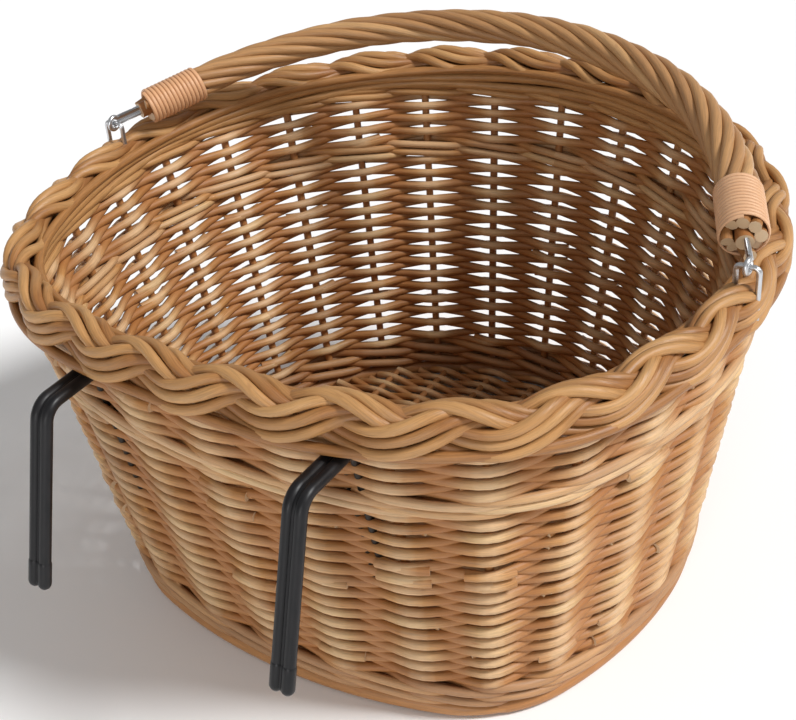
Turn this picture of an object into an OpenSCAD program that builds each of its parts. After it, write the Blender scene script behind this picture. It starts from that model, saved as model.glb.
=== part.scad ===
// Willow handlebar basket: a plaited rim, randed sides, two hooks and a swinging handle.
// The basket stands on z = 0. X runs from hinge to hinge, -Y is the side with the hooks.

/* [Rim outline] */
// Radius of the round front half, which is also half the rim's length
front_radius = 188; // [150:1:230]
// Half width of the flatter hook side
back_half_width = 179; // [150:1:220]
// Radius of the two corners on the hook side
corner_radius = 110; // [90:1:120]
// Distance of the corner centres from the middle, along X
corner_x = 66; // [50:1:70]
// Distance of the corner centres from the middle, along Y
corner_y = 59; // [45:1:60]

/* [Sides] */
// How far the sides lean out between the base and the rim
flare = 32.5; // [10:0.5:45]
// How far the sides' middle lies inside the rim line, under the border
wall_inset = 7; // [5:0.5:9]
// Thickness of the woven sides
wall_t = 13.5; // [12:0.5:16]
// Number of side stakes
stake_count = 26; // [20:2:30]
// Diameter of a side stake
stake_d = 5.6; // [4:0.2:6]
// Height of the upsett wale
wale_h = 15; // [8:1:20]
// Height where the band wale starts
band_z = 152; // [120:1:160]
// Height of the band wale
band_h = 10; // [6:1:16]
// Height of the sides, where the border sits
side_z = 190; // [180:1:220]

/* [Base] */
// Thickness of the woven base
base_t = 10; // [10:0.5:14]
// Diameter of the base sticks
stick_d = 4; // [3:0.2:4.4]
// Distance between base sticks
stick_pitch = 30; // [20:1:36]
// Thickness of the foot hoop
hoop_d = 9; // [8:0.5:9]

/* [Border] */
// Width of the plaited border
border_w = 21; // [18:1:24]
// How far the border's middle lies inside the rim line
border_inset = 2.5; // [0:0.5:4]
// Height of the top of the border
border_top_z = 215.5; // [206:0.5:240]

/* [Hooks] */
// Distance between the two hooks
hook_spacing = 142; // [120:1:150]
// Thickness of one rod of a hook, with its sleeve
hook_rod_d = 6; // [5.6:0.1:6.4]
// Thickness of the steel wire inside
hook_wire_d = 4.4; // [3:0.1:4.4]
// Height of a hook's top run, at its middle
hook_top_z = 186.5; // [178:0.5:186.5]
// Distance of a hook's outer leg from the basket's middle
hook_reach = 203; // [196:1:210]
// Length of the straight outer leg
hook_leg = 81; // [50:1:90]
// Lean of the outer leg, away from the basket
hook_tilt = 17; // [0:1:20]
// Height of the lower end of the wire in the weave
hook_root_z = 100; // [60:1:130]

/* [Handle] */
// Height of the hinge line
hinge_z = 222.5; // [221.5:0.5:224]
// Distance of the hinge line from the middle, towards the hooks
hinge_back = 8; // [0:1:14]
// Distance of each hinge from the middle
hinge_x = 188; // [186:1:190]
// Angle of the folded handle above the horizontal
fold_angle = 10.5; // [10.5:0.5:30]
// Thickness of the roped handle
handle_d = 20; // [16:0.5:20]
// Thickness of the rod inside the roping
handle_core_d = 11; // [8:0.5:14]
// Inward lean of the handle's ends
handle_lean = 26; // [20:1:30]
// Distance from the hinge to where the handle starts to bend
handle_straight = 56; // [56:1:70]
// Length of the whipping at each end
whip_len = 33; // [24:1:33]
// Thickness of the whipping
whip_t = 1.5; // [1:0.1:1.5]
// Distance from the hinge to the handle's ends
handle_gap = 16; // [14:1:18]
// Length of the handle's end below the whipping
stub_len = 6; // [4:1:7]
// Wire of the eyes and staples
link_wire_d = 2.8; // [2.4:0.1:3]

/* [Hidden] */
$fn = 48;

// Outline: six arcs, each [centre x, centre y, radius, first angle, last angle].
function tangent_centre(reach, c, across) =
    ((reach - corner_radius) ^ 2 - c ^ 2 - across ^ 2) / (2 * (reach - corner_radius - c));
back_centre = tangent_centre(back_half_width, corner_y, corner_x);
side_centre = tangent_centre(front_radius, corner_x, corner_y);
back_turn = atan2(corner_x, corner_y - back_centre);
side_turn = atan2(corner_y, corner_x - side_centre);
ARCS = [
    [0, 0, front_radius, 0, 180],
    [-side_centre, 0, front_radius - side_centre, 180, 180 + side_turn],
    [-corner_x, -corner_y, corner_radius, 180 + side_turn, 270 - back_turn],
    [0, -back_centre, back_half_width - back_centre, 270 - back_turn, 270 + back_turn],
    [corner_x, -corner_y, corner_radius, 270 + back_turn, 360 - side_turn],
    [side_centre, 0, front_radius - side_centre, 360 - side_turn, 360]
];
function arc_length(a) = a[2] * (a[4] - a[3]) * PI / 180;
function total(list, i = 0) = i < len(list) ? list[i] + total(list, i + 1) : 0;
perimeter = total([for (a = ARCS) arc_length(a)]);
// The arc, and the angle on it, at a distance s along the outline
function place(s, i = 0) =
    s <= arc_length(ARCS[i]) || i == len(ARCS) - 1
        ? [ARCS[i], ARCS[i][3] + s / ARCS[i][2] * 180 / PI]
        : place(s - arc_length(ARCS[i]), i + 1);
// Evenly spaced places: one at each stake and the rest between stakes
facets_per_stake = 2;
facets = stake_count * facets_per_stake;
function facet_place(k) = place((arc_length(ARCS[0]) / 2 + k * perimeter / facets) % perimeter);
PLACES = [for (k = [0 : facets - 1]) facet_place(k)];
// The point at a place, moved outwards by an offset
function outline(p, offset) = [
    p[0][0] + (p[0][2] + offset) * cos(p[1]),
    p[0][1] + (p[0][2] + offset) * sin(p[1])
];

// Sides: the middle of the woven wall, measured from the rim line
function wall_offset(z) = -wall_inset - flare * (1 - z / side_z);
wale_z = base_t;
weave_z = wale_z + wale_h;
wall_lean = atan(flare / side_z);
fit = 0.1;            // looseness of sticks and wires in their holes
eps = 1;              // overshoot of cutting shapes
hoop_offset = wall_offset(0) + (wall_t - hoop_d) / 2;
base_offset = hoop_offset - hoop_d / 2;
stick_reach = back_half_width + base_offset - 4;
stick_gap = (base_t - 2 * stick_d) / 3;

// Hooks: the plane of a hook has u outwards and z up
hook_x = hook_spacing / 2;
wire_pitch = hook_rod_d + 0.1;
root_bend = 7;
seat_bend = 10;
back_radius = back_half_width - back_centre;
function wall_u(z) = back_centre + sqrt((back_radius + wall_offset(z)) ^ 2 - hook_x ^ 2);
function tidy(v) = round(v * 2) / 2;
root_lean = tidy(atan((wall_u(hook_top_z) - wall_u(hook_root_z)) / (hook_top_z - hook_root_z)));
root_top_z = hook_top_z - root_bend * (1 - sin(root_lean));
exit_u = tidy(wall_u(root_top_z) + root_bend * cos(root_lean));
seat_u = tidy(hook_reach - seat_bend * cos(hook_tilt));
root_len = (root_top_z - hook_root_z) / cos(root_lean);
sleeve_gap = 2.5;
seam = 0.02;          // parts the straight and bent lengths of a hook
cap_len = 9;
cap_d = hook_rod_d + 0.6;
cap_tip = 4;

// Handle: the plane of the bow has x across and y from the hinge line to the bow's top
bow_radius = (hinge_x - handle_straight * sin(handle_lean)) / cos(handle_lean);
bow_centre = handle_straight * cos(handle_lean) - bow_radius * sin(handle_lean);
eye_r = 3.4;
shank_pitch = link_wire_d + 0.4;
shank_root = 40;
staple_pitch = 11;
staple_bend = 2.5;
staple_root_z = 194;

willow = [0.76, 0.56, 0.34];
willow_dark = [0.60, 0.40, 0.22];
willow_pale = [0.86, 0.70, 0.48];
plastic_black = [0.10, 0.10, 0.11];
zinc = [0.78, 0.79, 0.80];

// A ring round the outline. The section's points are [offset from the rim line, z],
// anticlockwise.
module ring(section) {
    n = len(section);
    points = [for (p = PLACES, q = section) concat(outline(p, q[0]), q[1])];
    function at(k, m) = (k % facets) * n + m % n;
    faces = [
        for (k = [0 : facets - 1], m = [0 : n - 1])
            [at(k, m), at(k, m + 1), at(k + 1, m + 1), at(k + 1, m)]
    ];
    polyhedron(points, faces, convexity = 8);
}

// A flat slab whose edge is the outline moved by an offset
module slab(offset, height) {
    linear_extrude(height)
        polygon([for (p = PLACES) outline(p, offset)]);
}

// The round section of a rod laid round the outline
function round_section(offset, z, d, sides) = [
    for (k = [0 : sides - 1])
        [offset + d / 2 * cos(k * 360 / sides), z + d / 2 * sin(k * 360 / sides)]
];

module at_stakes() {
    for (k = [0 : stake_count - 1]) {
        p = PLACES[k * facets_per_stake];
        translate([p[0][0], p[0][1], 0])
            rotate([0, 0, p[1]])
                translate([p[0][2], 0, 0])
                    children();
    }
}

// One band of the woven sides, packed tight round the stakes and the hooks' wires
module side_band(z0, z1) {
    ring([
        [wall_offset(z0) - wall_t / 2, z0],
        [wall_offset(z0) + wall_t / 2, z0],
        [wall_offset(z1) + wall_t / 2, z1],
        [wall_offset(z1) - wall_t / 2, z1]
    ]);
}

module stick_rows(d, half_rows, z) {
    for (k = [-half_rows : half_rows]) {
        reach = sqrt(stick_reach ^ 2 - (k * stick_pitch) ^ 2);
        translate([-reach, k * stick_pitch, z])
            rotate([0, 90, 0])
                cylinder(h = 2 * reach, d = d);
    }
}
half_rows = floor((stick_reach - 20) / stick_pitch);
module long_sticks(d) stick_rows(d, half_rows, stick_gap + stick_d / 2);
module short_sticks(d) rotate([0, 0, 90]) stick_rows(d, half_rows, base_t - stick_gap - stick_d / 2);

module base_long_sticks() color(willow_dark) long_sticks(stick_d);
module base_short_sticks() color(willow_dark) short_sticks(stick_d);

module base_weave() {
    color(willow)
        difference() {
            slab(base_offset, base_t);
            long_sticks(stick_d + fit);
            short_sticks(stick_d + fit);
        }
}

module foot_hoop() {
    color(willow_dark)
        ring(round_section(hoop_offset, hoop_d / 2, hoop_d, 12));
}

module side_stakes() {
    color(willow_dark)
        at_stakes()
            translate([wall_offset(wale_z + eps), 0, wale_z + eps])
                rotate([0, wall_lean, 0])
                    cylinder(h = (side_z - wale_z - 2 * eps) / cos(wall_lean), d = stake_d);
}

module upsett_wale() color(willow_dark) side_band(wale_z, weave_z);
module side_weave_lower() color(willow) side_band(weave_z, band_z);
module band_wale() color(willow_dark) side_band(band_z, band_z + band_h);
module side_weave_upper() color(willow) side_band(band_z + band_h, side_z);

// The border sits on the sides with a flat underside, and the staples are driven into it
module border_plait() {
    r = border_w / 2;
    sides = 16;
    section = [
        for (k = [0 : sides])
            let (a = k * 180 / sides)
                [r * cos(a) - border_inset, border_top_z - r + r * sin(a)]
    ];
    heel = 3;
    foot = [
        [-r - border_inset, side_z + heel],
        [heel - r - border_inset, side_z],
        [r - heel - border_inset, side_z],
        [r - border_inset, side_z + heel]
    ];
    color(willow)
        difference() {
            ring(concat(section, foot));
            for (side = [-1, 1])
                staple(side, link_wire_d + fit);
        }
}

// The plane of one rod of a hook
module hook_plane(x) {
    translate([x, 0, 0])
        rotate([90, 0, -90])
            children();
}

// From the seat bend down the outer leg, with z along the leg
module at_leg_top() {
    translate([seat_u, hook_top_z - seat_bend, 0])
        rotate([0, 0, hook_tilt])
            translate([seat_bend, 0, 0])
                rotate([90, 0, 0])
                    children();
}

// A straight length of rod or tube
module straight(length, d, bore) {
    difference() {
        cylinder(h = length, d = d);
        if (bore > 0)
            translate([0, 0, -eps])
                cylinder(h = length + 2 * eps, d = bore);
    }
}

// The visible part of one rod: the run out from the wall, the bend and the outer leg.
// A bore above zero makes it a tube.
module hook_outside(d, start_u, leg, bore = 0) {
    translate([seat_u, hook_top_z - seat_bend, 0]) {
        rotate([0, 0, 90])
            translate([seat_bend, 0, 0])
                rotate([-90, 0, 0])
                    translate([0, 0, seam])
                        straight(seat_u - start_u - seam, d, bore);
        rotate([0, 0, hook_tilt])
            rotate_extrude(angle = 90 - hook_tilt)
                translate([seat_bend, 0])
                    difference() {
                        circle(d = d);
                        if (bore > 0)
                            circle(d = bore);
                    }
    }
    at_leg_top()
        translate([0, 0, seam])
            straight(leg - seam, d, bore);
}

// The part of one wire that is pushed down into the weave
module hook_inside(d) {
    translate([exit_u, hook_top_z - root_bend, 0]) {
        rotate([0, 0, 90])
            rotate_extrude(angle = 90 - root_lean)
                translate([root_bend, 0])
                    circle(d = d);
        rotate([0, 0, -root_lean])
            translate([-root_bend, -seam, 0])
                rotate([90, 0, 0])
                    cylinder(h = root_len, d = d);
    }
}

module hook_wire(side) {
    color(zinc)
        for (s = [-1, 1])
            hook_plane(side * hook_x + s * wire_pitch / 2) {
                hook_inside(hook_wire_d);
                hook_outside(hook_wire_d, exit_u + seam, hook_leg);
            }
}

// The plastic over the two wires, as two tubes side by side
module hook_sleeve(side) {
    color(plastic_black)
        for (s = [-1, 1])
            hook_plane(side * hook_x + s * wire_pitch / 2)
                hook_outside(hook_rod_d, exit_u + sleeve_gap, hook_leg - cap_len, hook_wire_d);
}

// The cap that closes a hook's end, with a blind hole for each wire
module hook_cap(side) {
    color(plastic_black)
        hook_plane(side * hook_x)
            at_leg_top()
                translate([0, 0, hook_leg - cap_len])
                    difference() {
                        linear_extrude(cap_len + cap_tip) {
                            square([cap_d, wire_pitch], center = true);
                            for (s = [-1, 1])
                                translate([0, s * wire_pitch / 2])
                                    circle(d = cap_d);
                        }
                        for (s = [-1, 1])
                            translate([0, s * wire_pitch / 2, -eps])
                                cylinder(h = cap_len + eps, d = hook_wire_d);
                    }
}

module hook_wire_left() hook_wire(-1);
module hook_wire_right() hook_wire(1);
module hook_sleeve_left() hook_sleeve(-1);
module hook_sleeve_right() hook_sleeve(1);
module hook_cap_left() hook_cap(-1);
module hook_cap_right() hook_cap(1);

// A wire staple: two legs down into the border, and a bar that the handle's eye hangs on
module staple(side, d) {
    half = staple_pitch / 2;
    translate([side * hinge_x, -hinge_back, 0]) {
        for (s = [0, 1])
            mirror([s, 0, 0]) {
                translate([half, 0, staple_root_z])
                    cylinder(h = hinge_z - staple_bend - staple_root_z, d = d);
                translate([half - staple_bend, 0, hinge_z - staple_bend])
                    rotate([90, 0, 0])
                        rotate_extrude(angle = 90)
                            translate([staple_bend, 0])
                                circle(d = d);
            }
        translate([staple_bend - half, 0, hinge_z])
            rotate([0, 90, 0])
                cylinder(h = staple_pitch - 2 * staple_bend, d = d);
    }
}
module staple_left() color(zinc) staple(-1, link_wire_d);
module staple_right() color(zinc) staple(1, link_wire_d);

// The handle's own plane, folded back to where the handle rests
module on_handle() {
    translate([0, -hinge_back, hinge_z])
        rotate([fold_angle, 0, 0])
            children();
}

// One end of the handle, with z from the hinge line up the straight part
module handle_end(side) {
    mirror([side < 0 ? 1 : 0, 0, 0])
        translate([hinge_x, 0, 0])
            rotate([0, 0, handle_lean])
                rotate([-90, 0, 0])
                    children();
}

// A round rod that follows the whole handle
module bow(d) {
    translate([0, bow_centre, 0])
        rotate([0, 0, handle_lean])
            rotate_extrude(angle = 180 - 2 * handle_lean)
                translate([bow_radius, 0])
                    circle(d = d);
    for (side = [-1, 1])
        handle_end(side)
            translate([0, 0, handle_gap])
                cylinder(h = handle_straight - handle_gap, d = d);
}

module shanks(side, d) {
    handle_end(side)
        for (s = [-1, 1])
            translate([0, s * shank_pitch / 2, eye_r])
                cylinder(h = shank_root - eye_r, d = d);
}

module handle_core() {
    color(willow_dark)
        on_handle()
            difference() {
                bow(handle_core_d);
                for (side = [-1, 1])
                    shanks(side, link_wire_d);
            }
}

module handle_rope() {
    color(willow)
        on_handle()
            difference() {
                bow(handle_d);
                bow(handle_core_d);
                for (side = [-1, 1])
                    handle_end(side)
                        translate([0, 0, handle_gap - eps])
                            cylinder(h = 2 * eps, d = handle_core_d);
            }
}

module handle_whipping(side) {
    color(willow_pale)
        on_handle()
            handle_end(side)
                translate([0, 0, handle_gap + stub_len])
                    difference() {
                        cylinder(h = whip_len, d = handle_d + 2 * whip_t);
                        translate([0, 0, -eps])
                            cylinder(h = whip_len + 2 * eps, d = handle_d);
                    }
}
module handle_whipping_left() handle_whipping(-1);
module handle_whipping_right() handle_whipping(1);

// A closed eye round the staple's bar, with two wires up into the handle's core
module handle_eye(side) {
    color(zinc)
        on_handle() {
            translate([side * hinge_x, 0, 0])
                rotate([0, 90, 0])
                    rotate_extrude()
                        translate([eye_r, 0])
                            circle(d = link_wire_d);
            shanks(side, link_wire_d);
        }
}
module handle_eye_left() handle_eye(-1);
module handle_eye_right() handle_eye(1);

base_long_sticks();
base_short_sticks();
base_weave();
foot_hoop();
side_stakes();
upsett_wale();
side_weave_lower();
band_wale();
side_weave_upper();
border_plait();
hook_wire_left();
hook_wire_right();
hook_sleeve_left();
hook_sleeve_right();
hook_cap_left();
hook_cap_right();
staple_left();
staple_right();
handle_core();
handle_rope();
handle_whipping_left();
handle_whipping_right();
handle_eye_left();
handle_eye_right();
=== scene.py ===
import math

import bpy
import numpy as np
from mathutils import Matrix, Vector


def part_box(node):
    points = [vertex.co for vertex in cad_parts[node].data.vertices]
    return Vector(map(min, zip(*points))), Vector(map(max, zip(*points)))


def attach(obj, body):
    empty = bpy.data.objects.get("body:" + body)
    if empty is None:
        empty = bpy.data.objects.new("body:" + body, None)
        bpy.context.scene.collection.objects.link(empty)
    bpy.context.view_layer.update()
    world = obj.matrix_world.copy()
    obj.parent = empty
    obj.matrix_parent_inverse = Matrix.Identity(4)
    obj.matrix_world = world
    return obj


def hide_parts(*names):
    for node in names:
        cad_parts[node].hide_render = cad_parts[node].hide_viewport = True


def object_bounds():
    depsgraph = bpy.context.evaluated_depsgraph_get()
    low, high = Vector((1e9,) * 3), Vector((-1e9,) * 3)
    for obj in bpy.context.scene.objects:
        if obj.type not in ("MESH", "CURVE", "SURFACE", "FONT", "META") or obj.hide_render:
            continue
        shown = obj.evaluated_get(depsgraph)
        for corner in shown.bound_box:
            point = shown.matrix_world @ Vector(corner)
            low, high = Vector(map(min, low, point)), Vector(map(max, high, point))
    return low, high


# A willow handlebar basket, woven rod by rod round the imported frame.
# Lengths are metres. The frame's +Y is the round front and -Y the side with the hooks.

MM = 0.001
TAU = 2 * math.pi
SEED = 11

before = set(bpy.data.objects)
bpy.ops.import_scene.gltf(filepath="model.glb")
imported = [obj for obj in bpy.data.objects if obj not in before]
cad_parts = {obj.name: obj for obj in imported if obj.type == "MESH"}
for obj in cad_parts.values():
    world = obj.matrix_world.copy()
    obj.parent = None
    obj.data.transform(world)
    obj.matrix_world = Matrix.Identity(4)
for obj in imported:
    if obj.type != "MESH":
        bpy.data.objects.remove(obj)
cad_lo, cad_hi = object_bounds()
rng = np.random.default_rng(SEED)


def top(node):
    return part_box(node)[1].z


def bottom(node):
    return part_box(node)[0].z


def middle(node):
    lo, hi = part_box(node)
    return (lo + hi) / 2


def side_name(side):
    return "left" if side < 0 else "right"


# ---------------------------------------------------------------- the plan of the basket

STAKES = 26
BORDER_W = 21 * MM
BORDER_INSET = 2.5 * MM          # middle of the border, inside the rim line
RIM_OUT = BORDER_W / 2 - BORDER_INSET
FRONT_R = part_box("border_plait")[1].x - RIM_OUT
BACK_REACH = -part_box("border_plait")[0].y - RIM_OUT
CORNER_R = 110 * MM
CORNER_X = 66 * MM
CORNER_Y = 59 * MM

BASE_TOP = top("base_weave")
WALE_TOP = top("upsett_wale")
BAND_LOW = bottom("band_wale")
BAND_TOP = top("band_wale")
SIDE_TOP = top("side_weave_upper")
BORDER_TOP = top("border_plait")

WALL_T = 13.5 * MM
WALL_INSET = 7 * MM              # middle of the wall at its top, inside the rim line
FLARE = 32.5 * MM
STAKE_D = 4.8 * MM


def tangent_centre(reach, along, across):
    """Centre of the arc that reaches `reach` and is tangent to a corner arc."""
    inner = reach - CORNER_R
    return (inner**2 - along**2 - across**2) / (2 * (inner - along))


def make_arcs():
    """Arcs of the rim line, anticlockwise from +X: centre x, centre y, radius, start, turn."""
    back = tangent_centre(BACK_REACH, CORNER_Y, CORNER_X)
    side = tangent_centre(FRONT_R, CORNER_X, CORNER_Y)
    side_turn = math.atan2(CORNER_Y, CORNER_X - side)
    back_turn = math.atan2(CORNER_X, CORNER_Y - back)
    corner_turn = math.pi / 2 - side_turn - back_turn
    steps = [
        (0, 0, FRONT_R, math.pi),
        (-side, 0, FRONT_R - side, side_turn),
        (-CORNER_X, -CORNER_Y, CORNER_R, corner_turn),
        (0, -back, BACK_REACH - back, 2 * back_turn),
        (CORNER_X, -CORNER_Y, CORNER_R, corner_turn),
        (side, 0, FRONT_R - side, side_turn),
    ]
    arcs, angle = [], 0.0
    for x, y, radius, turn in steps:
        arcs.append((x, y, radius, angle, turn))
        angle += turn
    return np.array(arcs)


ARCS = make_arcs()
ARC_START = np.concatenate([[0], np.cumsum(ARCS[:, 2] * ARCS[:, 4])])
PERIMETER = ARC_START[-1]
FRONT_MIDDLE = FRONT_R * math.pi / 2


def plan(t, offset):
    """Points and outward directions at stake number t (0 is the front's middle), anticlockwise."""
    along = (np.asarray(t) / STAKES * PERIMETER + FRONT_MIDDLE) % PERIMETER
    arc = np.clip(np.searchsorted(ARC_START, along, side="right") - 1, 0, len(ARCS) - 1)
    cx, cy, radius, start = ARCS[arc, 0], ARCS[arc, 1], ARCS[arc, 2], ARCS[arc, 3]
    angle = start + (along - ARC_START[arc]) / radius
    out = np.stack([np.cos(angle), np.sin(angle)], -1)
    return np.stack([cx, cy], -1) + (radius + offset)[..., None] * out, out


def on_wall(t, offset, z):
    """Points of the flared wall: offset outwards from its middle, at height z."""
    t, offset, z = np.broadcast_arrays(t, offset, z)
    middle_offset = -WALL_INSET - FLARE * (1 - z / SIDE_TOP)
    xy, out = plan(t, middle_offset + offset)
    up = np.concatenate([out, np.zeros(out.shape[:-1] + (1,))], -1)
    return np.concatenate([xy, z[..., None]], -1), up


# ---------------------------------------------------------------- rods swept into one mesh


def unit(v):
    return v / np.maximum(np.linalg.norm(v, axis=-1, keepdims=True), 1e-12)


class Rods:
    """Sweeps rods along paths and gathers them in one mesh, with what the materials read:
    tint (one number per rod), along (metres), spin (direction round the rod), face (0 on a
    hidden side, painted shade, to 1 on an exposed side, painted light) and cut (1 on a cut end)."""

    FLOATS = ("tint", "along", "face", "cut")

    def __init__(self):
        self.points, self.faces, self.smooth = [], [], []
        self.data = {name: [] for name in self.FLOATS}
        self.spin = []
        self.count = 0

    def store(self, points, tint, along, spin, face, cut):
        n = len(points)
        self.points.append(points)
        self.spin.append(spin)
        for name, value in zip(self.FLOATS, (tint, along, face, cut)):
            self.data[name].append(np.broadcast_to(np.asarray(value, float), (n,)))
        self.count += n

    def add(self, path, radius, up, face=1.0, closed=False, sides=8, flat=1.0,
            round_end=False):
        """One rod. `up` lies across the rod, and flat below 1 thins it in that direction."""
        path = np.asarray(path, float)
        n = len(path)
        tint = rng.random()
        radius = np.broadcast_to(radius, (n,)).astype(float)
        face = np.broadcast_to(face, (n,)).astype(float)
        up = np.broadcast_to(up, (n, 3)).astype(float)
        if round_end:
            path, radius, up, face = self.round_ends(path, radius, up, face)
            n = len(path)
        normal, side = self.cross_axes(path, up, closed)
        angle = np.arange(sides) / sides * TAU
        c, s = np.cos(angle), np.sin(angle)
        ring = path[:, None] + radius[:, None, None] * (
            flat * c[None, :, None] * normal[:, None] + s[None, :, None] * side[:, None])
        step = np.linalg.norm(np.diff(path, axis=0), axis=1)
        along = np.concatenate([[0], np.cumsum(step)])
        spin = np.tile(np.stack([c, s, np.zeros(sides)], 1), (n, 1))
        first = self.count
        self.store(ring.reshape(-1, 3), tint, np.repeat(along, sides), spin,
                   np.repeat(face, sides), 0.0)
        self.walls(first, n, sides, closed)
        if not closed:
            self.cap(ring[0], tint, along[0], False)
            self.cap(ring[-1], tint, along[-1], True)

    @staticmethod
    def cross_axes(path, up, closed):
        """The two directions across a rod at each of its points."""
        if closed:
            tangent = unit(np.roll(path, -1, 0) - np.roll(path, 1, 0))
        else:
            tangent = unit(np.gradient(path, axis=0))
        normal = unit(up - (up * tangent).sum(1)[:, None] * tangent)
        return normal, np.cross(tangent, normal)

    @staticmethod
    def round_ends(path, radius, up, face):
        """Turns both square ends into domes."""
        turns = np.radians([90, 65, 40, 18])
        count = len(turns)
        out = [path], [radius], [up], [face]
        for end, inner in ((0, 1), (-1, -2)):
            aim = unit(path[end] - path[inner])
            r = radius[end]
            places = path[end] + np.outer(np.sin(turns) * r, aim)
            sizes = np.maximum(np.cos(turns) * r, r * 0.05)
            order = slice(None) if end == 0 else slice(None, None, -1)
            extra = (places[order], sizes[order], np.repeat(up[end][None], count, 0),
                     np.repeat(face[end], count))
            for group, piece in zip(out, extra):
                group.insert(0 if end == 0 else len(group), piece)
        return [np.concatenate(group) for group in out]

    def walls(self, first, n, sides, closed):
        """Quads between one ring of points and the next, from the point numbered `first`."""
        row = np.arange(n if closed else n - 1)[:, None]
        here, ahead = first + row * sides, first + (row + 1) % n * sides
        corner = np.arange(sides)[None]
        beside = (corner + 1) % sides
        quads = [here + corner, here + beside, ahead + beside, ahead + corner]
        quads = np.stack(quads, -1).reshape(-1, 4)
        self.faces += quads.tolist()
        self.smooth += [True] * len(quads)

    def cap(self, ring, tint, along, far):
        """The flat face of a cut end."""
        first, n = self.count, len(ring)
        self.store(ring, tint, along, np.zeros((n, 3)), 1.0, 1.0)
        face = list(range(first, first + n))
        self.faces.append(face if far else face[::-1])
        self.smooth.append(False)

    def build(self, name, material, slot, body, *nodes):
        """Makes the piece that rides on a body and replaces CAD nodes."""
        mesh = bpy.data.meshes.new(name)
        mesh.from_pydata(np.concatenate(self.points).tolist(), [], self.faces)
        mesh.polygons.foreach_set("use_smooth", self.smooth)
        for key in self.FLOATS:
            layer = mesh.attributes.new(key, "FLOAT", "POINT")
            layer.data.foreach_set("value", np.concatenate(self.data[key]).astype(np.float32))
        layer = mesh.attributes.new("spin", "FLOAT_VECTOR", "POINT")
        layer.data.foreach_set("vector", np.concatenate(self.spin).ravel().astype(np.float32))
        mesh.materials.append(material)
        mesh.update()
        piece = bpy.data.objects.new(name, mesh)
        bpy.context.scene.collection.objects.link(piece)
        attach(piece, body)
        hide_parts(*nodes)


# ---------------------------------------------------------------- materials


class Nodes:
    """A short way to wire a material."""

    def __init__(self, name):
        self.material = bpy.data.materials.new(name)
        self.material.use_nodes = True
        self.tree = self.material.node_tree
        self.shader = self.tree.nodes["Principled BSDF"]

    def new(self, kind, **values):
        node = self.tree.nodes.new("ShaderNode" + kind)
        for key, value in values.items():
            setattr(node, key, value)
        return node

    def link(self, source, target):
        self.tree.links.new(source, target)

    def attribute(self, name, output="Fac"):
        return self.new("Attribute", attribute_name=name).outputs[output]

    def math(self, operation, a, b=0.0):
        node = self.new("Math", operation=operation)
        for socket, value in zip(node.inputs, (a, b)):
            if isinstance(value, (int, float)):
                socket.default_value = value
            else:
                self.link(value, socket)
        return node.outputs[0]

    def noise(self, vector, scale, detail=2.0, rough=0.5):
        node = self.new("TexNoise")
        self.link(vector, node.inputs["Vector"])
        node.inputs["Scale"].default_value = scale
        node.inputs["Detail"].default_value = detail
        node.inputs["Roughness"].default_value = rough
        return node.outputs["Fac"]

    def spread(self, value, low, high, out_low=0.0, out_high=1.0):
        node = self.new("MapRange")
        node.inputs["From Min"].default_value = low
        node.inputs["From Max"].default_value = high
        node.inputs["To Min"].default_value = out_low
        node.inputs["To Max"].default_value = out_high
        self.link(value, node.inputs["Value"])
        return node.outputs[0]

    def ramp(self, value, stops):
        node = self.new("ValToRGB")
        elements = node.color_ramp.elements
        while len(elements) < len(stops):
            elements.new(0.5)
        for element, (place, colour) in zip(elements, stops):
            element.position = place
            element.color = (*colour, 1)
        self.link(value, node.inputs[0])
        return node.outputs[0]

    def mix(self, kind, factor, a, b):
        node = self.new("Mix", data_type="RGBA", blend_type=kind)
        for socket, value in ((node.inputs[0], factor), (node.inputs[6], a), (node.inputs[7], b)):
            if isinstance(value, (int, float)):
                socket.default_value = value
            elif isinstance(value, tuple):
                socket.default_value = (*value, 1)
            else:
                self.link(value, socket)
        return node.outputs[2]

    def bump(self, height, strength, distance):
        node = self.new("Bump")
        node.inputs["Strength"].default_value = strength
        node.inputs["Distance"].default_value = distance
        self.link(height, node.inputs["Height"])
        self.link(node.outputs[0], self.shader.inputs["Normal"])


TINT_SPACING = 91.0              # keeps the noise of one rod clear of another's


def rod_vector(m, stretch, turn):
    """A point that runs along the rod and round it, with each rod in a place of its own."""
    tint, along = m.attribute("tint"), m.attribute("along")
    split = m.new("SeparateXYZ")
    m.link(m.attribute("spin", "Vector"), split.inputs[0])
    join = m.new("CombineXYZ")
    own_place = m.math("MULTIPLY", tint, TINT_SPACING)
    m.link(m.math("ADD", m.math("MULTIPLY", along, stretch), own_place), join.inputs[0])
    m.link(m.math("MULTIPLY", split.outputs[0], turn), join.inputs[1])
    m.link(m.math("MULTIPLY", split.outputs[1], turn), join.inputs[2])
    return join.outputs[0]


TINT_SHARE = 0.62                # of a rod's shade that is its own, the rest is patches
STREAK_SHARE = 0.75
SCAR_SHARE = 0.55
HIDDEN_SHARE = 0.8               # how far the hidden side turns to the painted-shade colour
# painted light: the share by which the exposed bulges turn to the pale colour
EXPOSED_LIGHT_SHARE = 0.30
CUT_SHARE = 0.7
CUT_COLOUR = (0.66, 0.50, 0.32)


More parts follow.
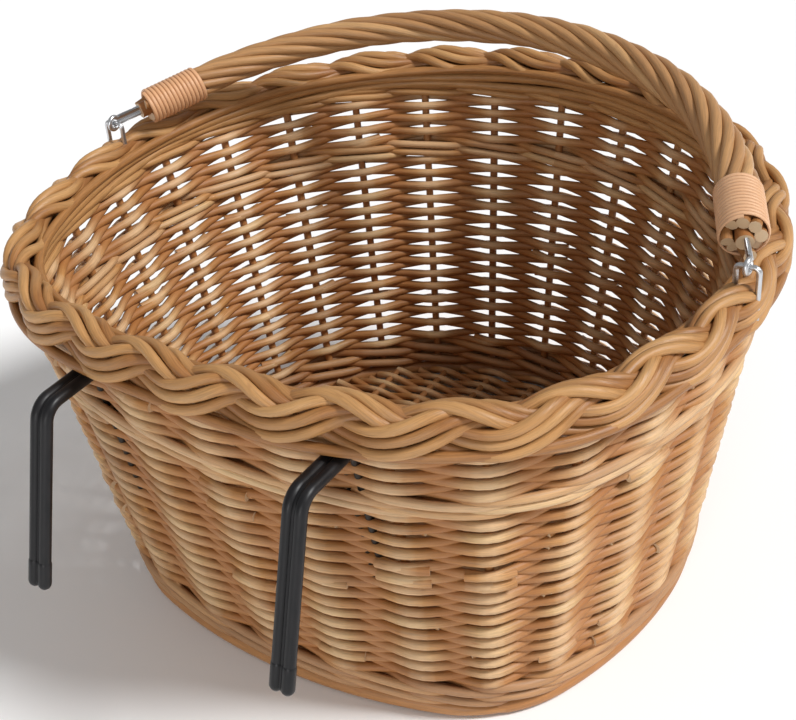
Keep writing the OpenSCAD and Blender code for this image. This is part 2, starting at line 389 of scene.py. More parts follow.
def willow(name, colours, shade_and_scar, pale, rough=(0.42, 0.62), contrast=0.5):
    """Peeled willow: one tint per rod, streaks along it, bud scars, painted shade on hidden sides
    and painted light on exposed bulges.
    """
    m = Nodes(name)
    streaks = m.noise(rod_vector(m, 26, 1.3), 3.4, 4, 0.6)
    patches = m.noise(rod_vector(m, 34, 0.5), 1.0, 2)
    shade = m.math("ADD", m.math("MULTIPLY", m.attribute("tint"), TINT_SHARE),
                   m.math("MULTIPLY", patches, 1 - TINT_SHARE))
    base = m.ramp(shade, colours)
    streak_colour = m.ramp(streaks, [(0.3, (1 - contrast,) * 3), (0.62, (1, 1, 1))])
    base = m.mix("MULTIPLY", STREAK_SHARE, base, streak_colour)
    scars = m.spread(m.noise(rod_vector(m, 60, 0.9), 1.9, 1), 0.70, 0.78)
    base = m.mix("MIX", m.math("MULTIPLY", scars, SCAR_SHARE), base, shade_and_scar)
    # painted shade: the hidden side of a rod, where it passes behind another, turns to the shade
    # colour
    hidden = m.math("MULTIPLY", m.spread(m.attribute("face"), 0.8, 0.1), HIDDEN_SHARE)
    base = m.mix("MIX", hidden, base, shade_and_scar)
    # painted light: the exposed bulge of a rod turns towards the pale colour
    exposed_light = m.math("MULTIPLY", m.spread(m.attribute("face"), 0.72, 1.0), EXPOSED_LIGHT_SHARE)
    base = m.mix("MIX", exposed_light, base, pale)
    base = m.mix("MIX", m.math("MULTIPLY", m.attribute("cut"), CUT_SHARE), base, CUT_COLOUR)
    m.link(base, m.shader.inputs["Base Color"])
    m.link(m.spread(streaks, 0.3, 0.75, *rough), m.shader.inputs["Roughness"])
    m.shader.inputs["Specular IOR Level"].default_value = 0.42
    m.bump(streaks, 0.35, 0.0006)
    return m.material


def coated(name):
    """Satin black coating with a faint orange peel and rubbed patches."""
    m = Nodes(name)
    vector = rod_vector(m, 120, 0.9)
    peel = m.noise(vector, 6.0, 2)
    wear = m.noise(vector, 0.8, 3)
    m.link(m.ramp(wear, [(0.35, (0.005, 0.005, 0.006)), (0.75, (0.012, 0.011, 0.012))]),
           m.shader.inputs["Base Color"])
    m.link(m.spread(wear, 0.3, 0.7, 0.34, 0.48), m.shader.inputs["Roughness"])
    m.shader.inputs["Specular IOR Level"].default_value = 0.3
    m.bump(peel, 0.12, 0.0004)
    return m.material


def metal(name, colour, rough):
    """Drawn wire with fine lines along it."""
    m = Nodes(name)
    lines = m.noise(rod_vector(m, 14, 2.4), 5.0, 3)
    dull = tuple(c * 0.62 for c in colour)
    m.link(m.ramp(lines, [(0.35, dull), (0.7, colour)]), m.shader.inputs["Base Color"])
    m.link(m.spread(lines, 0.3, 0.7, rough, rough + 0.2), m.shader.inputs["Roughness"])
    m.shader.inputs["Metallic"].default_value = 1.0
    m.bump(lines, 0.2, 0.0002)
    return m.material


WEAVE_COLOURS = [(0.10, (0.36, 0.150, 0.050)), (0.34, (0.54, 0.270, 0.090)),
                 (0.58, (0.60, 0.350, 0.170)), (0.85, (0.66, 0.420, 0.190))]
BORDER_COLOURS = [(0.12, (0.29, 0.115, 0.032)), (0.40, (0.39, 0.175, 0.053)),
                  (0.65, (0.48, 0.240, 0.082)), (0.88, (0.56, 0.310, 0.125))]
WALE_COLOURS = [(0.12, (0.28, 0.110, 0.038)), (0.42, (0.42, 0.190, 0.066)),
                (0.70, (0.52, 0.260, 0.095)), (0.90, (0.58, 0.320, 0.140))]
HOOP_COLOURS = [(0.15, (0.30, 0.120, 0.036)), (0.50, (0.42, 0.180, 0.055)),
                (0.85, (0.52, 0.245, 0.085))]
CANE_COLOURS = [(0.15, (0.62, 0.300, 0.130)), (0.50, (0.72, 0.380, 0.190)),
                (0.85, (0.78, 0.460, 0.260))]
# painted shade: the colours that the hidden sides of rods turn to; the bud scars use them too
SHADE_AND_SCAR = (0.34, 0.130, 0.034)
BORDER_SHADE_AND_SCAR = (0.25, 0.100, 0.032)
HANDLE_SHADE_AND_SCAR = (0.32, 0.14, 0.05)
CANE_SHADE_AND_SCAR = (0.45, 0.24, 0.12)
PALE = (0.80, 0.60, 0.375)
WALE_PALE = (0.66, 0.45, 0.26)
BORDER_PALE = (0.62, 0.365, 0.155)
HOOP_PALE = (0.50, 0.27, 0.12)
HIDDEN_PALE = (0.45, 0.27, 0.13)
HANDLE_PALE = (0.80, 0.56, 0.32)
CANE_PALE = (0.82, 0.60, 0.42)
ZINC = (0.80, 0.81, 0.83)
STEEL = (0.05, 0.042, 0.036)


# ---------------------------------------------------------------- the woven sides

SAMPLES = 8                      # points per stake along a weaving rod
ROD_R = 2.6 * MM
ROW_PITCH = 4.25 * MM
WEAVE_REACH = 4.2 * MM           # how far a rod swings to each side of the wall's middle
KINK = 0.10                      # sharpens the bend of a rod at each stake
END_PROUD = 1.6 * MM             # how far the cut ends stand out of the weave
ROW_RODS = 3                     # rods that follow each other round one row
END_PAST = 0.30                  # how far a rod runs past its last stake, in stakes
PROUD_REACH = 0.5                # stakes over which an end comes out of the weave
SKEW_REACH = 0.7                 # stakes over which it rises or sinks beside the next rod
SKEW = 1.4 * MM                  # rise for each of those stakes
ROW_WANDER = 0.35 * MM
ROW_JITTER = 0.16 * MM


def rod_taper(n, thick, thin, flip):
    taper = np.linspace(thick, thin, n)
    return taper[::-1] if flip else taper


def weave_row(rods, z, parity):
    """One round of randing: rods pass inside and outside alternate stakes."""
    start = rng.random() * STAKES
    lengths = rng.uniform(0.8, 1.2, ROW_RODS)
    joins = start + np.concatenate([[0], np.cumsum(lengths / lengths.sum())]) * STAKES
    for a, b in zip(joins[:-1], joins[1:]):
        a, b = round(a) - END_PAST, round(b) + END_PAST
        n = int((b - a) * SAMPLES) + 1
        t = np.linspace(a, b, n)
        turn = math.pi * (t + parity)
        swing = (np.cos(turn) + KINK * np.cos(3 * turn)) / (1 + KINK)
        end = np.minimum(t - a, b - t)
        lift = rng.normal(0, ROW_JITTER) + ROW_WANDER * np.sin(t * 1.7 + rng.random() * TAU)
        proud = END_PROUD * np.clip(1 - end / PROUD_REACH, 0, 1)
        path, up = on_wall(t, WEAVE_REACH * swing + proud, z + lift)
        path[:, 2] += np.maximum(SKEW_REACH - end, 0) * SKEW * rng.choice([-1, 1])
        radius = ROD_R * rod_taper(n, 1.07, 0.90, rng.random() < 0.5) * rng.uniform(0.95, 1.05)
        # face: painted shade where the rod passes behind a stake, painted light on its bulges
        rods.add(path, radius, up, face=np.abs(swing) ** 1.3)


def weave_band(name, z0, z1, first_parity, node, material):
    rods = Rods()
    rows = round((z1 - z0) / ROW_PITCH)
    pitch = (z1 - z0) / rows
    for row in range(rows):
        weave_row(rods, z0 + (row + 0.5) * pitch, first_parity + row)
    rods.build(name, material, "willow", "basket", node)
    return rows


WALE_STRANDS = 3
WALE_OUTSIDE = 0.28              # more of each rod's run lies outside the wall


def wale_round(rods, z, reach, thick, height):
    """Rods that each pass outside two stakes and inside one, twisting round each other."""
    t = np.linspace(0, STAKES, STAKES * SAMPLES + 1)
    for strand in range(WALE_STRANDS):
        turn = TAU * (t - 0.5 - strand) / WALE_STRANDS
        swing = np.tanh(2 * (np.cos(turn) + WALE_OUTSIDE)) / math.tanh(2 * (1 + WALE_OUTSIDE))
        lean = -height * np.sin(turn)
        path, up = on_wall(t, reach * swing, z + lean)
        # face: painted shade where a strand crosses a stake, painted light where it bulges out
        rods.add(path, thick * rng.uniform(0.96, 1.04), up, face=0.35 + 0.6 * np.abs(swing))


def wale_band(name, z0, z1, rounds, thick, node, material):
    rods = Rods()
    pitch = (z1 - z0) / rounds
    for k in range(rounds):
        wale_round(rods, z0 + (k + 0.5) * pitch, WALL_T / 2 - thick, thick, pitch * 0.30)
    rods.build(name, material, "willow_dark", "basket", node)


def stakes(material):
    rods = Rods()
    z = np.linspace(bottom("side_stakes"), top("side_stakes"), 9)
    for k in range(STAKES):
        path, out = on_wall(float(k), 0.0, z)
        across = np.cross(out, (0, 0, 1))
        # face 0.35: painted shade on the stakes, which lie behind the weave
        rods.add(path, STAKE_D / 2 * rng.uniform(0.92, 1.05), across, face=0.35, sides=10)
    rods.build("side_stakes_willow", material, "willow_dark", "basket", "side_stakes")


# ---------------------------------------------------------------- the base

BASE_ROD_R = 2.1 * MM
STICK_PITCH = 30 * MM
STICKS = 7
STICK_R = 2.0 * MM
STICK_SAMPLES = 24
BASE_ROUND = 190 * MM            # radius of the round outline that the sticks end on
HOOP_D = 9 * MM
HOOP_OFFSET = -WALL_INSET - FLARE + (WALL_T - HOOP_D) / 2
BASE_OFFSET = HOOP_OFFSET - HOOP_D / 2


def base_width(y):
    """Half the base's width at each y."""
    t = np.linspace(0, STAKES, 2600)
    xy, _ = plan(t, np.full_like(t, BASE_OFFSET))
    right = xy[xy[:, 0] > 0]
    order = np.argsort(right[:, 1])
    return np.interp(y, right[order, 1], right[order, 0])


def base_sticks(name, node, along_x, material):
    rods = Rods()
    lo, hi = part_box(node)
    z = (lo.z + hi.z) / 2
    for k in range(STICKS):
        across = (k - (STICKS - 1) / 2) * STICK_PITCH
        reach = (hi.x if along_x else hi.y) * math.sqrt(1 - (across / BASE_ROUND) ** 2)
        line = np.linspace(-reach, reach, STICK_SAMPLES)
        wander = across + 0.6 * MM * np.sin(line * 30 + k)
        level = np.full(STICK_SAMPLES, z)
        xyz = (line, wander, level) if along_x else (wander, line, level)
        # face 0.5: painted shade on the sticks, which lie under the base weave
        rods.add(np.stack(xyz, 1), STICK_R, (0, 0, 1), face=0.5)
    rods.build(name, material, "willow_dark", "basket", node)


def base_weave(material):
    """Rods run across the base, over and under the short sticks."""
    rods = Rods()
    lo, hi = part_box("base_weave")
    count = int((hi.y - lo.y) / (2 * BASE_ROD_R + 0.1 * MM))
    z = (lo.z + hi.z) / 2
    reach = (hi.z - lo.z) / 2 - BASE_ROD_R
    for k in range(count):
        y = lo.y + (k + 0.5) * (hi.y - lo.y) / count
        half = float(base_width(y)) - 1.5 * MM
        x = np.linspace(-half, half, max(8, int(half / (2.1 * MM))))
        swing = np.cos(math.pi * (x / STICK_PITCH + k))
        path = np.stack([x, y + 0.3 * MM * np.sin(x * 40 + k), z + reach * swing], 1)
        # face: painted shade where a rod dips under a stick, painted light where it rides over
        rods.add(path, BASE_ROD_R * rng.uniform(0.92, 1.04), (0, 1, 0),
                 face=np.abs(swing) ** 1.3)
    rods.build("base_weave_willow", material, "willow", "basket", "base_weave")


def foot_hoop(material):
    """Two thick rods bent round the foot, with scarfed joints."""
    rods = Rods()
    joints = (8.0, 15.8)
    radius = HOOP_D / 2
    scarf = 0.9
    for a, b in (joints, (joints[1], joints[0] + STAKES)):
        t = np.linspace(a - scarf / 2, b + scarf / 2, 200)
        end = np.minimum(t - t[0], t[-1] - t) / scarf
        size = radius * np.clip(0.45 + 0.55 * end, 0.45, 1.0)
        side = np.where(t < (a + b) / 2, 1, -1) * np.clip(1 - end, 0, 1) * radius * 0.5
        xy, out = plan(t, HOOP_OFFSET - side)
        path = np.concatenate([xy, np.full((len(t), 1), radius)], 1)
        up = np.concatenate([out, np.zeros((len(t), 1))], 1)
        rods.add(path, size, up, face=0.85, sides=12)
    rods.build("foot_hoop_rod", material, "willow_dark", "basket", "foot_hoop")


# ---------------------------------------------------------------- the plaited border

PLAIT_TURNS = 8                  # times each strand crosses the border and comes back
PLAIT_STRANDS = 3
BORDER_SAMPLES = PLAIT_TURNS * PLAIT_STRANDS * 14
STRAND_RODS = 3
PLAIT_ROD_R = 2.7 * MM
PLAIT_STEP = 5.3 * MM            # between the rods of one strand
PLAIT_SWING = 12 * MM
PLAIT_SHIFT = 5.5 * MM           # the plait's middle, outwards from the border's crown
PLAIT_LIFT = 2.9 * MM
PLAIT_EDGE = 1.8 * MM            # how far a strand stands out where it turns back
PLAIT_CORE = 4.6 * MM
PLAIT_MEAN = 7.2 * MM            # radius of the crown at which the swing is measured
# Long rods beside the plait: across, level and how far each wanders.
EDGE_RODS = [(-11.6 * MM, 4.0 * MM, 0.3 * MM), (-15.6 * MM, 2.6 * MM, 0.6 * MM),
             (-19.8 * MM, 2.2 * MM, 0.9 * MM), (22.5 * MM, 2.2 * MM, 0.9 * MM)]
UNDER_ROUNDS = [(2.6 * MM, 4.2 * MM), (6.4 * MM, 3.6 * MM)]
UNDER_ROD_R = 2.2 * MM
UNDER_LEAN = 1.4 * MM
CROWN_Z = BORDER_TOP - BORDER_W / 2
SADDLE = 0.22                    # the border is this much taller at the front and back


def border_point(t, across, level):
    """A point of the border: across runs outwards over its crown and down its sides."""
    angle = np.clip(across / PLAIT_MEAN, -math.pi / 2, math.pi / 2)
    below = np.abs(across) - np.abs(angle) * PLAIT_MEAN
    radius = PLAIT_CORE + level
    xy, direction = plan(t, -BORDER_INSET + np.sin(angle) * radius)
    z = CROWN_Z + np.cos(angle) * radius - below
    z += SADDLE * (z - SIDE_TOP) * np.cos(math.pi * t / (STAKES / 2)) ** 2
    up = np.concatenate([direction * np.sin(angle)[:, None], np.cos(angle)[:, None]], 1)
    return np.concatenate([xy, z[:, None]], 1), up


def plait_strand(rods, t, strand):
    turn = TAU * (t / STAKES * PLAIT_TURNS + strand / PLAIT_STRANDS)
    level = -PLAIT_LIFT * np.sin(2 * turn) + PLAIT_EDGE * np.sin(turn) ** 6
    slope = PLAIT_SWING * np.cos(turn) * TAU * PLAIT_TURNS / PERIMETER
    for k in range(STRAND_RODS):
        beside = (k - (STRAND_RODS - 1) / 2) * PLAIT_STEP * np.sqrt(1 + slope**2)
        wander = 0.5 * MM * np.sin(TAU * t / STAKES * (5 + 2 * k) + 2 * strand)
        across = PLAIT_SHIFT + PLAIT_SWING * np.sin(turn) + beside + wander
        path, up = border_point(t, across, level)
        size = PLAIT_ROD_R * (1 + 0.06 * np.sin(TAU * t / STAKES * (3 + k) + strand + k))
        # face: painted shade where a strand dips under the others, painted light where it lies on
        # top
        face = 0.55 + 0.4 * level / PLAIT_LIFT
        rods.add(path, size, up, face=face, closed=True, sides=10)


def edge_rods(rods, t):
    """Long rods that follow the plait's inner and outer edges."""
    for k, (across, lift, waves) in enumerate(EDGE_RODS):
        wander = waves * np.sin(TAU * t / STAKES * PLAIT_TURNS + 1.7 * k)
        level = lift - 0.8 * waves * np.sin(TAU * t / STAKES * PLAIT_TURNS + k)
        path, up = border_point(t, across + wander, level)
        rods.add(path, PLAIT_ROD_R * 0.98, up, face=0.75, closed=True, sides=10)


def border(material):
    """A plait of three strands over the rim, on the waling that ends the wall."""
    rods = Rods()
    t = np.linspace(0, STAKES, BORDER_SAMPLES, endpoint=False)
    for strand in range(PLAIT_STRANDS):
        plait_strand(rods, t, strand)
    edge_rods(rods, t)
    for height, reach in UNDER_ROUNDS:
        wale_round(rods, SIDE_TOP + height, reach, UNDER_ROD_R, UNDER_LEAN)
    rods.build("border_plait_willow", material, "willow", "basket", "border_plait")


# ---------------------------------------------------------------- the handle

HINGE_Z = top("staple_left") - 1.4 * MM
HINGE_BACK = 8 * MM
HINGE_X = middle("staple_right").x
FOLD = math.radians(10.5)
HANDLE_D = 20 * MM
HANDLE_LEAN = math.radians(26)
HANDLE_STRAIGHT = 56 * MM
HANDLE_GAP = 16 * MM
STUB = 6 * MM
WHIP_LEN = 33 * MM
ROPE_RODS = 8
ROPE_ROD_R = 2.95 * MM
ROPE_PITCH = 165 * MM
ROPE_SAMPLES = 260
ROPE_WANDER = 0.03               # share of the reach by which a rod strays
ROPE_UNEVEN = 5                  # an end stops up to this many samples short
HANDLE_THIN = 0.88               # share of the full thickness at the -X end
HANDLE_THICK = 1.12              # and at the +X end
CORE_R = 4.4 * MM
WHIP_TURNS = 13.5
WHIP_FLAT = 0.62                 # split cane's thickness over its width
WHIP_CLEAR = 0.55 * MM           # middle of the cane, outwards from the roping
LINK_D = 2.8 * MM
LINK_GAP = 0.4 * MM              # between the eye's two wires
EYE_R = 3.4 * MM
EYE_LENGTH = 40 * MM
STAPLE_HALF = 5.5 * MM
STAPLE_BEND = 2.5 * MM

fold_up = np.array([0, math.cos(FOLD), math.sin(FOLD)])
fold_out = np.array([0, -math.sin(FOLD), math.cos(FOLD)])


def bow(s):
    """Points and tangents of the handle's middle line, s metres from its left hinge."""
    radius = (HINGE_X - HANDLE_STRAIGHT * math.sin(HANDLE_LEAN)) / math.cos(HANDLE_LEAN)
    centre = HANDLE_STRAIGHT * math.cos(HANDLE_LEAN) - radius * math.sin(HANDLE_LEAN)
    arc = radius * (math.pi - 2 * HANDLE_LEAN)
    total = 2 * HANDLE_STRAIGHT + arc
    s = np.asarray(s, float)
    mirrored = s > total / 2
    q = np.where(mirrored, total - s, s)
    angle = np.pi - HANDLE_LEAN - np.maximum(q - HANDLE_STRAIGHT, 0) / radius
    straight = q < HANDLE_STRAIGHT
    x = np.where(straight, -HINGE_X + q * math.sin(HANDLE_LEAN), radius * np.cos(angle))
    y = np.where(straight, q * math.cos(HANDLE_LEAN), centre + radius * np.sin(angle))
    tx = np.where(straight, math.sin(HANDLE_LEAN), np.sin(angle))
    ty = np.where(straight, math.cos(HANDLE_LEAN), -np.cos(angle))
    x, ty = np.where(mirrored, -x, x), np.where(mirrored, -ty, ty)
    hinge = np.array([0, -HINGE_BACK, HINGE_Z])
    point = hinge + x[:, None] * np.array([1, 0, 0]) + y[:, None] * fold_up
    tangent = tx[:, None] * np.array([1, 0, 0]) + ty[:, None] * fold_up
    return point, tangent, total


BOW_LENGTH = bow([0.0])[2]


def handle_scale(s):
    return HANDLE_THIN + (HANDLE_THICK - HANDLE_THIN) * (np.asarray(s) / BOW_LENGTH) ** 1.8


def handle_frame(s):
    point, tangent, _ = bow(s)
    normal = np.broadcast_to(fold_out, tangent.shape)
    return point, normal, np.cross(tangent, normal)


def handle_rope(material):
    """Rods laid in a twist round the core, from one end of the handle to the other."""
    rods = Rods()
    s = np.linspace(HANDLE_GAP, BOW_LENGTH - HANDLE_GAP, ROPE_SAMPLES)
    point, normal, side = handle_frame(s)
    for k in range(ROPE_RODS):
        turn = TAU * (s / ROPE_PITCH + k / ROPE_RODS)
        direction = np.cos(turn)[:, None] * normal + np.sin(turn)[:, None] * side
        whipped = np.minimum(s, BOW_LENGTH - s) < HANDLE_GAP + STUB + WHIP_LEN
        scale = handle_scale(s)
        reach = (HANDLE_D / 2 - ROPE_ROD_R) * scale
        size = ROPE_ROD_R * scale * rng.uniform(0.94, 1.05)
        wander = 1 + ROPE_WANDER * np.sin(s * 60 + k * 2.1)
        length = slice(rng.integers(0, ROPE_UNEVEN), len(s) - rng.integers(0, ROPE_UNEVEN))
        path = point + direction * (reach * wander)[:, None]
        # face 0.5 under the whipping is painted shade; 0.85 elsewhere turns the rope a little
        # paler as painted light
        face = np.where(whipped, 0.5, 0.85)
        rods.add(path[length], size[length], direction[length], face=face[length], sides=10)
    rods.build("handle_rope_willow", material, "handle_willow", "handle", "handle_rope")


def handle_core(material):
    rods = Rods()
    s = np.linspace(HANDLE_GAP + 1 * MM, BOW_LENGTH - HANDLE_GAP - 1 * MM, 120)
    point, normal, _ = handle_frame(s)
    # face 0.2: painted shade on the core, which lies inside the roping
    rods.add(point, CORE_R, normal, face=0.2, sides=12)
    rods.build("handle_core_rod", material, "willow_dark", "handle", "handle_core")


def handle_whipping(side, material):
    """Split cane wound tightly round the handle's end."""
    rods = Rods()
    start = HANDLE_GAP + STUB
    q = np.linspace(start, start + WHIP_LEN, int(WHIP_TURNS * 26))
    s = q if side < 0 else BOW_LENGTH - q
    point, normal, across = handle_frame(s)
    turn = TAU * WHIP_TURNS * (q - start) / WHIP_LEN
    direction = np.cos(turn)[:, None] * normal + np.sin(turn)[:, None] * across
    reach = HANDLE_D / 2 * handle_scale(s) + WHIP_CLEAR
    path = point + direction * reach[:, None]
    width = WHIP_LEN / WHIP_TURNS / 2 * 0.97
    rods.add(path, width, direction, face=0.8, flat=WHIP_FLAT)
    label = side_name(side)
    rods.build("handle_whipping_cane_" + label, material, "split_cane", "handle",
               "handle_whipping_" + label)


def arc_points(centre, first, second, radius, a0, a1, n):
    angle = np.linspace(a0, a1, n)[:, None]
    return np.asarray(centre) + radius * (
        np.cos(angle) * np.asarray(first) + np.sin(angle) * np.asarray(second))


def handle_eye(side, material):
    """A closed eye round the staple's bar, its two wires running up into the handle."""
    rods = Rods()
    hinge = np.array([side * HINGE_X, -HINGE_BACK, HINGE_Z])
    up = -side * math.sin(HANDLE_LEAN) * np.array([1.0, 0, 0]) + math.cos(HANDLE_LEAN) * fold_up
    gap = (LINK_D + LINK_GAP) / 2
    opening = math.asin(gap / EYE_R)
    loop = arc_points(hinge, fold_up, fold_out, EYE_R, opening, TAU - opening, 40)
    end = hinge + up * EYE_LENGTH
    path = np.concatenate([[end + fold_out * gap], loop, [end - fold_out * gap]])
    rods.add(path, LINK_D / 2, np.cross(up, fold_out), sides=12)
    label = side_name(side)
    rods.build("handle_eye_wire_" + label, material, "zinc_wire", "handle",
               "handle_eye_" + label)


def staple(side, material):
    """A square-topped loop of wire pushed down through the border."""
    rods = Rods()
    x, y = side * HINGE_X, -HINGE_BACK
    root = bottom("staple_left")
    corner = HINGE_Z - STAPLE_BEND
    inner = STAPLE_HALF - STAPLE_BEND
    across, upright, quarter = (1, 0, 0), (0, 0, 1), math.pi / 2
    path = np.concatenate([
        [[x - STAPLE_HALF, y, root]],
        arc_points((x - inner, y, corner), across, upright, STAPLE_BEND, math.pi, quarter, 9),
        arc_points((x + inner, y, corner), across, upright, STAPLE_BEND, quarter, 0, 9),
        [[x + STAPLE_HALF, y, root]],
    ])
    rods.add(path, LINK_D / 2, (0, 1, 0), sides=12)
    label = side_name(side)
    rods.build("staple_wire_" + label, material, "zinc_wire", "basket", "staple_" + label)


# ---------------------------------------------------------------- the hooks

HOOK_X = 71 * MM
ROD_PAIR = 3.05 * MM
HOOK_TOP = top("hook_sleeve_left") - 3 * MM
SEAT_U = 193.5 * MM
SEAT_BEND = 10 * MM
EXIT_U = 169.5 * MM
ROOT_BEND = 7 * MM
ROOT_LEAN = math.radians(10)
ROOT_LOW = 100 * MM
HOOK_TILT = math.radians(17)
HOOK_LEG = 81 * MM
CAP_LEN = 9 * MM
CAP_TIP = 1 * MM                 # how far the cap's straight part runs past the leg
HOOK_WIRE_R = 2.2 * MM
HOOK_SLEEVE_R = 3.0 * MM
HOOK_CAP_R = 3.3 * MM
WEB_R = 1.9 * MM                 # the web that joins the two rods of a pair
CAP_WEB_R = 2.2 * MM


def hook_point(x, u, z):
    u, z = np.asarray(u, float), np.asarray(z, float)
    return np.stack([np.full_like(u, x), -u, z], -1)


def hook_paths(x):
    """Three lengths of one rod: the root in the weave, the part outside, and the leg's end."""
    seat_z = HOOK_TOP - SEAT_BEND
    turn = np.linspace(math.pi / 2, HOOK_TILT, 14)
    bend = hook_point(x, SEAT_U + SEAT_BEND * np.cos(turn), seat_z + SEAT_BEND * np.sin(turn))
    down = np.array([0, -math.sin(HOOK_TILT), -math.cos(HOOK_TILT)])
    leg = bend[-1] + down * np.linspace(6 * MM, HOOK_LEG - CAP_LEN, 12)[:, None]
    cap_run = np.linspace(HOOK_LEG - CAP_LEN, HOOK_LEG + CAP_TIP, 6)
    cap = bend[-1] + down * cap_run[:, None]
    run = hook_point(x, np.linspace(EXIT_U, SEAT_U, 6)[:-1], np.full(5, HOOK_TOP))
    turn = np.linspace(math.pi - ROOT_LEAN, math.pi / 2, 8)
    root_z = HOOK_TOP - ROOT_BEND
    curl = hook_point(x, EXIT_U + ROOT_BEND * np.cos(turn), root_z + ROOT_BEND * np.sin(turn))
    into = np.array([0, math.sin(ROOT_LEAN), -math.cos(ROOT_LEAN)])
    depth = (root_z - ROOT_LOW) / math.cos(ROOT_LEAN)
    root = curl[0] + into * np.linspace(depth, 4 * MM, 6)[:, None]
    return np.concatenate([root, curl]), np.concatenate([run, bend, leg]), cap


def hook(side, coat, steel):
    """Two rods side by side with a web between them, in three pieces."""
    label = side_name(side)
    wire, sleeve, cap = Rods(), Rods(), Rods()
    for s in (-1, 1):
        x = side * HOOK_X + s * ROD_PAIR
        root, outside, end = hook_paths(x)
        wire.add(root, HOOK_WIRE_R, (1, 0, 0), sides=12)
        sleeve.add(outside, HOOK_SLEEVE_R, (1, 0, 0), sides=16)
        cap.add(end, HOOK_CAP_R, (1, 0, 0), sides=16, round_end=True)
    _, outside, end = hook_paths(side * HOOK_X)
    sleeve.add(outside, WEB_R, (1, 0, 0), sides=12)
    cap.add(end, CAP_WEB_R, (1, 0, 0), sides=12, round_end=True)
    wire.build("hook_wire_steel_" + label, steel, "steel_wire", "basket", "hook_wire_" + label)
    sleeve.build("hook_sleeve_black_" + label, coat, "black_plastic", "basket",
                 "hook_sleeve_" + label)
    cap.build("hook_cap_black_" + label, coat, "black_plastic", "basket", "hook_cap_" + label)


# ---------------------------------------------------------------- floor, light and camera

VIEW_YAW = math.radians(34.6)
VIEW_PITCH = math.radians(33.7)
VIEW_ROLL = math.radians(-4.7)
VIEW_DISTANCE = 0.832
VIEW_TARGET = Vector((-0.0153, 0.0055, 0.1034))
LENS = 66.74
SENSOR_WIDTH = 36
FLOOR_HALF = 40.0
FLOOR_GAP = 0.5 * MM             # the rods of the foot dip a little under the CAD's foot
WORLD_STRENGTH = 0.36


def floor():
    m = Nodes("pale_floor")
    spot = m.new("TexNoise")
    spot.inputs["Scale"].default_value = 3.0
    m.link(m.ramp(spot.outputs["Fac"], [(0.3, (0.93, 0.93, 0.93)), (0.7, (0.95, 0.95, 0.95))]),
           m.shader.inputs["Base Color"])
    m.shader.inputs["Roughness"].default_value = 0.9
    m.shader.inputs["Specular IOR Level"].default_value = 0.1
    mesh = bpy.data.meshes.new("floor")
    corners = [(-1, -1), (1, -1), (1, 1), (-1, 1)]
    mesh.from_pydata([(x * FLOOR_HALF, y * FLOOR_HALF, 0) for x, y in corners], [],
                     [(0, 1, 2, 3)])
    mesh.materials.append(m.material)
    ground = bpy.data.objects.new("floor", mesh)
    ground.location.z = cad_lo.z - FLOOR_GAP
    bpy.context.scene.collection.objects.link(ground)


def towards(azimuth, elevation):
    """A direction from the basket. Azimuth 0 is on the hook side and 90 degrees at +X."""
    level = math.cos(elevation)
    return Vector((math.sin(azimuth) * level, -math.cos(azimuth) * level,
                   math.sin(elevation)))


def place_lamp(name, lamp, azimuth, elevation, distance):
    """Aims a lamp at the basket. The angles are in degrees."""
    back = towards(math.radians(azimuth), math.radians(elevation))
    holder = bpy.data.objects.new(name, lamp)
    holder.location = VIEW_TARGET + back * distance
    holder.rotation_mode = "QUATERNION"
    holder.rotation_quaternion = back.to_track_quat("Z", "Y")
    bpy.context.scene.collection.objects.link(holder)


def sun(name, azimuth, elevation, spread, strength):
    """A large soft source, the same everywhere on the floor."""
    lamp = bpy.data.lights.new(name, "SUN")
    lamp.angle, lamp.energy = math.radians(spread), strength
    place_lamp(name, lamp, azimuth, elevation, 3)


def softbox(name, azimuth, elevation, distance, size, watts):
    """A round area light aimed at the basket."""
    lamp = bpy.data.lights.new(name, "AREA")
    lamp.shape, lamp.size, lamp.energy = "DISK", size, watts
    place_lamp(name, lamp, azimuth, elevation, distance)


def lights():
    bpy.context.scene.view_settings.view_transform = "Standard"
    world = bpy.data.worlds.new("studio")
    world.use_nodes = True
    background = world.node_tree.nodes["Background"]
    background.inputs["Color"].default_value = (1, 1, 1, 1)
    background.inputs["Strength"].default_value = WORLD_STRENGTH
    bpy.context.scene.world = world
    sun("key", azimuth=106, elevation=48, spread=14, strength=3.1)
    softbox("fill", azimuth=15, elevation=14, distance=3.0, size=1.2, watts=20)


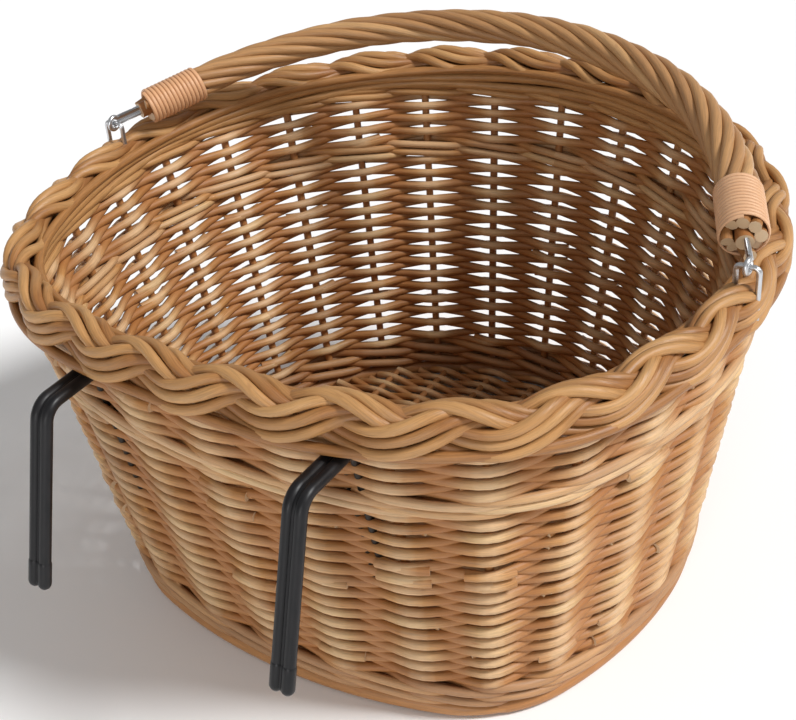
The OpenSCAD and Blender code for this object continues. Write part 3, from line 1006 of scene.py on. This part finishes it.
def camera():
    """The photograph's view: over the hook side, from the right."""
    back = towards(VIEW_YAW, VIEW_PITCH)
    right = (-back).cross(Vector((0, 0, 1))).normalized()
    up = right.cross(-back)
    c, s = math.cos(VIEW_ROLL), math.sin(VIEW_ROLL)
    axes = Matrix((c * right + s * up, -s * right + c * up, back)).transposed()
    data = bpy.data.cameras.new("camera")
    data.lens, data.sensor_width = LENS, SENSOR_WIDTH
    data.clip_start, data.clip_end = 0.01, 200
    cam = bpy.data.objects.new("camera", data)
    cam.matrix_world = Matrix.Translation(VIEW_TARGET + back * VIEW_DISTANCE) @ axes.to_4x4()
    bpy.context.scene.collection.objects.link(cam)
    bpy.context.scene.camera = cam


def basket():
    woven = willow("willow_weave", WEAVE_COLOURS, SHADE_AND_SCAR, PALE)
    waled = willow("willow_wale", WALE_COLOURS, SHADE_AND_SCAR, WALE_PALE)
    plaited = willow("willow_border", BORDER_COLOURS, BORDER_SHADE_AND_SCAR, BORDER_PALE,
                     rough=(0.36, 0.55))
    hoop = willow("willow_hoop", HOOP_COLOURS, SHADE_AND_SCAR, HOOP_PALE, (0.34, 0.5), 0.35)
    hidden = willow("willow_stakes", WALE_COLOURS, SHADE_AND_SCAR, HIDDEN_PALE)
    stakes(hidden)
    rows = weave_band("side_weave_lower_willow", WALE_TOP, BAND_LOW, 0, "side_weave_lower", woven)
    weave_band("side_weave_upper_willow", BAND_TOP, SIDE_TOP, rows, "side_weave_upper", woven)
    wale_band("upsett_wale_willow", BASE_TOP, WALE_TOP, 2, 2.6 * MM, "upsett_wale", waled)
    wale_band("band_wale_willow", BAND_LOW, BAND_TOP, 2, 2.3 * MM, "band_wale", woven)
    base_sticks("base_long_willow", "base_long_sticks", True, hidden)
    base_sticks("base_short_willow", "base_short_sticks", False, hidden)
    base_weave(woven)
    foot_hoop(hoop)
    border(plaited)


def handle():
    roped = willow("willow_handle", BORDER_COLOURS, HANDLE_SHADE_AND_SCAR, HANDLE_PALE,
                   (0.36, 0.55), 0.45)
    core = willow("willow_core", WALE_COLOURS, SHADE_AND_SCAR, HIDDEN_PALE)
    cane = willow("split_cane_wrap", CANE_COLOURS, CANE_SHADE_AND_SCAR, CANE_PALE, (0.32, 0.48), 0.3)
    zinc = metal("zinc_wire", ZINC, 0.22)
    handle_rope(roped)
    handle_core(core)
    for side in (-1, 1):
        handle_whipping(side, cane)
        handle_eye(side, zinc)
        staple(side, zinc)


def hooks():
    coat = coated("satin_black_coat")
    steel = metal("steel_wire", STEEL, 0.3)
    for side in (-1, 1):
        hook(side, coat, steel)


basket()
handle()
hooks()
floor()
lights()
camera()
